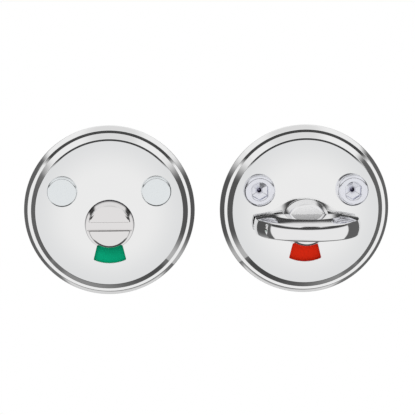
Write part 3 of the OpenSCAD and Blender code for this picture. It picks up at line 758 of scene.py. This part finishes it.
fan_middle = np.tile([0, GRIP_MID, GRIP_C_Z], (CORNER_STEPS, 1))
lower_fan = grid(np.stack([fan_middle, back_edge[:, 0]]))
back_patches = [grid(back_edge), grid(back_face), lower_fan, mirrored(lower_fan, 1)]
grip_patches = [grip_skin, inner_fan, mirrored(inner_fan, 1)]
grip_patches += [*back_patches, *[mirrored(patch, 0) for patch in back_patches]]
print("grip reaches", GRIP_C_Z + GRIP_R, "mm out of the door")

# %% Hub, shaft and the whole thumb turn
hub_r = hub_radii(TURN_DOME_R, slot_floor_r)[:, None]
hub_skin = turned(hub_r, hub_height(hub_r, TURN_DOME_R, TURN_POLISH_R), around)
hub_and_shaft = np.concatenate([hub_skin, shaft_skin(around)])
turn_patches = [*grip_patches, grid(hub_and_shaft, wrap=True)]
make_piece("thumb_turn", turn_patches, INSIDE, "inside_turn", BRUSHED, CRISP)

# %% [markdown]
# ## Screws and sleeve nuts
# The inside half has two low-head socket screws, and the outside half the long sleeve nuts that they screw
# into. A screw is one skin from the bottom of its hexagon over the head and down the thread. The thread is
# a height on the bar: its radius falls from crest to root with the fraction of z / pitch - a / turn.

# %% Thread and hexagon
PITCH, THREAD_DEPTH, ROWS_PER_TURN, FLANK_GAIN, TIP_CUT = 1.0, 0.55, 10, 1.4, 0.2
SCREW_COLUMNS = np.linspace(0, 2 * np.pi, FIXING_STEPS, endpoint=False)


def thread_wave(z, angles):
    """From 0 at the root to 1 at the crest: a triangle wave of z / pitch - a / turn, its tips cut flat."""
    phase = np.mod(z / PITCH - angles / (2 * np.pi), 1)
    return np.clip(FLANK_GAIN * np.abs(2 * phase - 1) - TIP_CUT, 0, 1)


def hexagon(angles, flat):
    """Radius of a hexagon with a corner straight up: half width / cos of the angle from the nearest flat."""
    return flat / np.cos(np.mod(angles - np.pi / 2, np.pi / 3) - np.pi / 6)


def skin(rows):
    """Stacks (radius, height) rows, either of which may change with the angle, into one grid of points."""
    shape = SCREW_COLUMNS.shape
    r = np.array([np.broadcast_to(row[0], shape) for row in rows])
    z = np.array([np.broadcast_to(row[1], shape) for row in rows])
    return turned(r, z, SCREW_COLUMNS)


def at_fixings(points):
    """The same skin at both fixings of a half."""
    return [grid(points + [x, y, 0], wrap=True) for x, y in FIXINGS]


# %% Fixing screws
SCREW_R, HEAD_R, HEAD_H, HEAD_EDGE, HEAD_BREAK, HEAD_STEPS = 3.0, 5.0, 2.8, 1.0, 0.15, 12
HEX_FLAT, HEX_DEPTH, HEX_FILLET, HEX_MOUTH = 2.5, 2.2, 0.05, 3.05
MOUTH_SLOPE, MOUTH_DROP, MOUTH_IN, MOUTH_OUT = 0.55, 0.03, 0.08, 0.1
DRILL_R, DRILL_TOP, DRILL_DEPTH, DRILL_TIP = 0.7, 3.0, 5.2, 0.6
NECK_R, NECK_END, THREAD_TOP = 2.7, 0.4, 0.3
SCREW_END, TIP_LENGTH, TIP_DROP, TIP_R = -28.5, 0.8, 0.6, 2.25
head_top = FACE_Z + HEAD_H
hex_floor = head_top - HEX_DEPTH
drill_end = head_top - DRILL_DEPTH
hex_r = hexagon(SCREW_COLUMNS, HEX_FLAT)
mouth_z = head_top - (HEX_MOUTH - hex_r) * MOUTH_SLOPE
hex_rows = [
    (0, drill_end - DRILL_TIP), (DRILL_R, drill_end), (DRILL_R, head_top - DRILL_TOP),
    (hex_r - HEX_FILLET, hex_floor + HEX_FILLET), (hex_r, hex_floor + 3 * HEX_FILLET),
    (hex_r, mouth_z - 2 * MOUTH_DROP), (hex_r + HEX_FILLET, mouth_z + MOUTH_DROP),
    (HEX_MOUTH - MOUTH_IN, head_top - MOUTH_DROP), (HEX_MOUTH + MOUTH_OUT, head_top),
]
head_edge = arc((HEAD_R - HEAD_EDGE, head_top - HEAD_EDGE), HEAD_EDGE, 90, 0, HEAD_STEPS)
head_rows = [
    *head_edge, (HEAD_R, FACE_Z + HEAD_BREAK), (HEAD_R - HEAD_BREAK, FACE_Z), (NECK_R, FACE_Z),
    (NECK_R, NECK_END),
]
thread_z = np.arange(THREAD_TOP, SCREW_END, -PITCH / ROWS_PER_TURN)
fade = np.clip((THREAD_TOP - thread_z) / PITCH, 0, 1)
tip = np.clip((thread_z - SCREW_END) / TIP_LENGTH, 0, 1)
crest = np.minimum(NECK_R + (SCREW_R - NECK_R) * fade, SCREW_R - TIP_DROP * (1 - tip))
root = np.minimum(crest, SCREW_R - THREAD_DEPTH * fade)
thread_rows = [
    (low + (high - low) * thread_wave(z, SCREW_COLUMNS), z) for low, high, z in zip(root, crest, thread_z)
]
screw_skin = skin([*hex_rows, *head_rows, *thread_rows, (TIP_R, SCREW_END), (0, SCREW_END)])
make_piece("fixing_screws", at_fixings(screw_skin), INSIDE, "roses", SCREW_ZINC)

# %% Sleeve nuts
SLEEVE_R, SLEEVE_HEAD_R, SLEEVE_HEAD_H, SLEEVE_EDGE, SLEEVE_BREAK = 4.0, 4.8, 1.5, 0.7, 0.12
SLEEVE_END, END_CHAMFER, END_R, SLEEVE_STEPS = -23.5, 0.6, 3.2, 10
TAP_R, TAP_DEPTH, TAP_TIP, COUNTERSINK, RUNOUT_TURNS = 2.5, 24.0, 1.4, 0.5, 3
sleeve_top = FACE_Z + SLEEVE_HEAD_H
bore_end = SLEEVE_END + TAP_DEPTH
sleeve_edge = arc((SLEEVE_HEAD_R - SLEEVE_EDGE, sleeve_top - SLEEVE_EDGE), SLEEVE_EDGE, 90, 0, SLEEVE_STEPS)
sleeve_rows = [
    (0, sleeve_top), (SLEEVE_R / 2, sleeve_top), *sleeve_edge,
    (SLEEVE_HEAD_R, FACE_Z + SLEEVE_BREAK), (SLEEVE_HEAD_R - SLEEVE_BREAK, FACE_Z), (SLEEVE_R, FACE_Z),
    (SLEEVE_R, SLEEVE_END + END_CHAMFER), (SLEEVE_R - END_CHAMFER, SLEEVE_END), (END_R, SLEEVE_END),
]
bore_z = np.arange(SLEEVE_END + COUNTERSINK, bore_end, PITCH / ROWS_PER_TURN)
bore_depth = THREAD_DEPTH * np.clip((bore_end - bore_z) / (RUNOUT_TURNS * PITCH), 0, 1)
bore_rows = [(TAP_R + d * thread_wave(z, SCREW_COLUMNS), z) for d, z in zip(bore_depth, bore_z)]
sleeve_skin = skin([*sleeve_rows, *bore_rows, (TAP_R, bore_end), (0, bore_end + TAP_TIP)])
make_piece("sleeve_nuts", at_fixings(sleeve_skin), OUTSIDE, "roses", SLEEVE)

# %% [markdown]
# ## The spindle
# The square bar that crosses the door is drawn steel: its long corners are rounded by the die, and a turned
# chamfer helps it into the other half. Its section is a softened square, and near the end a shrinking
# circle trims it.

# %% Spindle
SPINDLE_HALF, SPINDLE_END, SPINDLE_CHAMFER, DRAWN_CORNER = 2.5, -46.2, 0.8, 0.45
square_points = [(1, 0), (1, 1), (-1, 1), (-1, -1), (1, -1), (1, 0)]
spindle_loop = soften(np.array(square_points) * SPINDLE_HALF, [DRAWN_CORNER] * 4)[:-1]
loop_r = np.hypot(*spindle_loop.T)
loop_a = np.arctan2(spindle_loop[:, 1], spindle_loop[:, 0])
corner_r = SPINDLE_HALF * np.sqrt(2)
spindle_rows = np.array([
    (0, SOCKET_Z), (corner_r, SOCKET_Z), (corner_r, 0), (corner_r, SPINDLE_END + SPINDLE_CHAMFER),
    (corner_r - SPINDLE_CHAMFER, SPINDLE_END), (0, SPINDLE_END),
])
spindle_skin = turned(np.minimum(loop_r, spindle_rows[:, :1]), spindle_rows[:, 1:], loop_a)
make_piece("spindle", [grid(spindle_skin, wrap=True)], INSIDE, "inside_turn", ZINC)

# %% [markdown]
# ## Finishes for the pieces that stay as they are
# Flags, foils, base plates, bushes, washers, circlips, springs and pins have the right shape in the solid
# model already. They only need the finish of what they are made of.

# %% Finishes by node
KEPT = {
    "base_plate": CAST, "bush": NYLON, "flag_disc": FLAG, "green_foil": GREEN, "red_foil": RED,
    "detent_spring": SPRING, "thrust_washer": BRASS, "circlip": SPRING, "stop_pin": PIN_STEEL,
}
for side in ("outside", "inside"):
    for kind, material in KEPT.items():
        frame["nodes"][f"{side}_{kind}"].material_slots[0].material = material
frame["nodes"]["spindle_cross_pin"].material_slots[0].material = PIN_STEEL
print("finished in place:", 2 * len(KEPT) + 1, "nodes")

# %% [markdown]
# ## The studio
# Polished metal has no look of its own: it shows the room. So the room is laid out as a photographer would:
# pale walls and ceiling, an arch of dark above the lens that runs out to a dark band on each side, dark
# flanks behind, a dark skirting, and a floor that is dark in front and paler behind. The steps of the rims
# look down at that floor, so its brightness goes by the tilt of the mirror that shows it to the lens. The
# room is one big sphere whose brightness is a function of direction, and only reflections see it.

# %% Glow and things of the studio
UNSEEN_BY = ("camera", "diffuse", "transmission", "volume_scatter", "shadow")
room_glow = bpy.data.materials.new("studio_room_glow")
room_glow.use_nodes = True
room_glow.cycles.emission_sampling = "NONE"
tree = room_glow.node_tree
tree.nodes.remove(tree.nodes["Principled BSDF"])
level = node(tree, "ShaderNodeAttribute", attribute_name="brightness").outputs["Fac"]
glow = node(tree, "ShaderNodeEmission", [("Strength", level)])
tree.links.new(glow.outputs["Emission"], tree.nodes["Material Output"].inputs["Surface"])


def stage_object(name, patch, material):
    """A thing of the studio, from the corners and faces of a grid."""
    corners, faces = patch
    mesh = bpy.data.meshes.new(name)
    mesh.from_pydata(corners.tolist(), [], faces.tolist())
    mesh.materials.append(material)
    return add_object(name, mesh)


def glowing(name, patch, levels):
    """A surface that only reflections see, with its own brightness at each corner."""
    made = stage_object(name, patch, room_glow)
    brightness = made.data.attributes.new("brightness", "FLOAT", "POINT")
    brightness.data.foreach_set("value", levels.astype(np.float32).ravel())
    for ray in UNSEEN_BY:
        setattr(made, "visible_" + ray, False)
    print(f"{name}: brightness from {levels.min():.2f} to {levels.max():.2f}")
    return made


def rise(value, edge, width):
    """A soft step from 0 to 1 around an edge: 3t^2 - 2t^3 over the given width."""
    t = np.clip((value - edge) / width + 0.5, 0, 1)
    return t * t * (3 - 2 * t)


# %% Zones of the room
# Angles are in degrees. A pair is the edge of a zone and the width over which it fades.
WALL_LEVEL = 0.88
SKIRTING_TOP, SKIRTING_LEVEL = (-43, 6), 0.16
FLOOR_EDGE, FLOOR_LEVEL = (-53, 6), 0.06
STEEP, STEEP_GAIN, STEEPEST, STEEPEST_GAIN = (45.5, 2), 0.2, (48.85, 1.4), 0.42
BEHIND, FLANK_FOOT, FLANK_TOP, FLANK_LEVEL = (90.5, 3), (-45, 8), (32, 10), 0.12
FAR_BEHIND, FAR_GAIN = (150, 20), 0.25
DARK_FOOT, DARK_LEVEL = (10.4, 3), 0.06
ARCH_A, ARCH_END, ARCH_TOP, ARCH_FADE, ARCH_CROWN, ARCH_BEND = 3.0, (24, 6), 25.2, 3, 5, 0.014
BAND_TOP = (21, 4)
OVERHEAD, OVERHEAD_LEVEL = (68, 16), 0.74
LENS = (-3.0, 11.7)


def toward(azimuth, elevation):
    """Unit vectors by direction in degrees, with azimuth 0 straight in front."""
    a, e = np.radians(azimuth), np.radians(elevation)
    return np.stack(np.broadcast_arrays(np.sin(a) * np.cos(e), -np.cos(a) * np.cos(e), np.sin(e)), axis=-1)


def mirror_tilt(azimuth, elevation):
    """Tilt of the mirror that shows a direction to the lens: how far halfway to the lens is off the front."""
    halfway = toward(azimuth, elevation) + toward(*LENS)
    return np.degrees(np.arccos(-halfway[..., 1] / np.linalg.norm(halfway, axis=-1)))


def room_level(azimuth, elevation):
    """Brightness by direction, with azimuth 0 straight in front: soft zones laid one over another."""
    side = np.abs(azimuth)
    behind = rise(side, *BEHIND)
    from_arch = np.abs(azimuth - ARCH_A)
    past_arch = rise(from_arch, *ARCH_END)
    arch_top = ARCH_TOP - ARCH_BEND * np.maximum(from_arch - ARCH_CROWN, 0) ** 2
    above_foot = rise(elevation, *DARK_FOOT)
    arch = above_foot * (1 - rise(elevation, arch_top, ARCH_FADE))
    band = above_foot * (1 - rise(elevation, *BAND_TOP)) * (1 - behind)
    flank = behind * rise(elevation, *FLANK_FOOT) * (1 - rise(elevation, *FLANK_TOP))
    tilt = mirror_tilt(azimuth, elevation)
    floor_level = FLOOR_LEVEL + STEEP_GAIN * rise(tilt, *STEEP) + STEEPEST_GAIN * rise(tilt, *STEEPEST)
    zones = [
        (1 - rise(elevation, *SKIRTING_TOP), SKIRTING_LEVEL),
        (1 - rise(elevation, *FLOOR_EDGE), floor_level),
        (flank, FLANK_LEVEL + FAR_GAIN * rise(side, *FAR_BEHIND)),
        (arch * (1 - past_arch) + band * past_arch, DARK_LEVEL),
        (rise(elevation, *OVERHEAD), OVERHEAD_LEVEL),
    ]
    level = np.full(np.broadcast_shapes(azimuth.shape, elevation.shape), WALL_LEVEL)
    for mask, zone_level in zones:
        level = level + mask * (zone_level - level)
    return level


# %% Room of reflections
ROOM_R, ROOM_STEP, ROOM_OUT = 0.6, 1.5, 8.0
ROOM_CENTRE = Vector((MIDDLE, -ROOM_OUT * MM, ROSE_UP * MM))
azimuth = np.arange(-180, 180, ROOM_STEP)
elevation = np.linspace(-90, 90, int(180 / ROOM_STEP) + 1)[:, None]
room_patch = grid(toward(azimuth, elevation) * ROOM_R + np.array(ROOM_CENTRE), wrap=True)
room = glowing("studio_room", room_patch, room_level(azimuth, elevation))

# %% Card between the roses
# Two polished roses side by side would mirror each other's rims. A photographer slips a dark card between
# them. It is dark in the middle and pales towards its upper and lower end, so that the dark in the rims
# fades out.
CARD_HALF, CARD_BACK, CARD_FRONT, CARD_ROWS = 30.0, -4.0, 14.0, 41
CARD_LEVEL, UPPER_END, UPPER_GAIN, LOWER_END, LOWER_GAIN = 0.09, (19, 14), 0.75, (17, 14), 0.36
from_middle = np.linspace(-CARD_HALF, CARD_HALF, CARD_ROWS)[:, None]
card_points = np.stack(np.broadcast_arrays(0.0, from_middle + ROSE_UP, [CARD_BACK, CARD_FRONT]), axis=-1)
ends = UPPER_GAIN * rise(from_middle, *UPPER_END) + LOWER_GAIN * rise(-from_middle, *LOWER_END)
card_levels = np.repeat(CARD_LEVEL + ends, 2)
card = glowing("studio_card", grid(to_frame(card_points, MIDDLE)), card_levels)

# %% [markdown]
# ## Floor, sky and lamp
# The photograph's ground is plain white, with the roses far from any surface. The floor therefore lies well
# below and fades out at its edge. The sky is white where the camera or a reflection sees it, and a little
# dimmer as a light, because a wide soft lamp overhead adds the rest.

# %% Floor
FLOOR_Z, FLOOR_R, FLOOR_RINGS, FADE_FROM = -0.65, 0.9, 40, 0.4
PAINT_ROUGH, PAINT_SPECULAR = 0.9, 0.1
paint, tree, shader, place = new_finish("studio_floor_paint", 0.0, PAINT_SPECULAR)
shader.inputs["Base Color"].default_value = linear(244, 244, 243)
shader.inputs["Roughness"].default_value = PAINT_ROUGH
flat = node(tree, "ShaderNodeVectorMath", [(0, place), (1, (1, 1, 0))], operation="MULTIPLY").outputs[0]
out = node(tree, "ShaderNodeVectorMath", [(0, flat)], operation="LENGTH").outputs["Value"]
fading = ramp(tree, out, FADE_FROM, FLOOR_R)
tree.links.new(calc(tree, "SUBTRACT", 1.0, fading), shader.inputs["Alpha"])
floor_points = turned(np.linspace(0, FLOOR_R, FLOOR_RINGS)[:, None], FLOOR_Z, around)
floor = stage_object("studio_floor", grid(floor_points, wrap=True), paint)
floor.data.shade_smooth()

# %% Sky and lamp
SKY_LIGHT, LAMP_POWER, LAMP_SIZE, LAMP_FROM = 0.85, 2.2, 0.5, (-0.12, -0.3, 0.4)
sky = bpy.data.worlds.new("studio_sky")
sky.use_nodes = True
bpy.context.scene.world = sky
tree = sky.node_tree
seen = tree.nodes.new("ShaderNodeLightPath").outputs
mirrored_or_seen = calc(tree, "MAXIMUM", seen["Is Camera Ray"], seen["Is Glossy Ray"])
direct = calc(tree, "MAXIMUM", mirrored_or_seen, seen["Is Transmission Ray"])
background = tree.nodes["Background"].inputs
background["Color"].default_value = (1, 1, 1, 1)
tree.links.new(ramp(tree, direct, 0.0, 1.0, SKY_LIGHT, 1.0), background["Strength"])
lamp_data = bpy.data.lights.new("soft_lamp", "AREA")
lamp_data.energy = LAMP_POWER
lamp_data.size = LAMP_SIZE
lamp = add_object("soft_lamp", lamp_data)
lamp.location = ROOM_CENTRE + Vector(LAMP_FROM)
lamp.rotation_euler = (ROOM_CENTRE - lamp.location).to_track_quat("-Z", "Y").to_euler()
lamp.visible_glossy = False
lamp.visible_camera = False

# %% [markdown]
# ## The camera
# The photograph looks at the pair from a little above and almost straight on, with a long lens. The aim is
# the middle between the two faces, moved by the small offset at which the photograph is framed.

# %% Camera
AZIMUTH, ELEVATION, DISTANCE, FRAME_WIDTH = -3.0, 8.5, 0.470, 0.1331
OFFSET_RIGHT, OFFSET_UP, SENSOR, CLIP_NEAR, CLIP_FAR = -0.00013, 0.00128, 36.0, 0.01, 20.0
back = Vector(toward(AZIMUTH, ELEVATION))
turn = (-back).to_track_quat("-Z", "Y")
aim = Vector((MIDDLE, -FACE_Z * MM, ROSE_UP * MM)) + turn @ Vector((OFFSET_RIGHT, OFFSET_UP, 0))
camera_data = bpy.data.cameras.new("camera")
camera_data.sensor_width = SENSOR
camera_data.lens = SENSOR * DISTANCE / FRAME_WIDTH
camera_data.clip_start, camera_data.clip_end = CLIP_NEAR, CLIP_FAR
camera = add_object("camera", camera_data)
camera.matrix_world = Matrix.LocRotScale(aim + back * DISTANCE, turn, None)
bpy.context.scene.camera = camera
bpy.context.scene.view_settings.view_transform = "Standard"
print("lens:", round(camera_data.lens, 1), "mm")
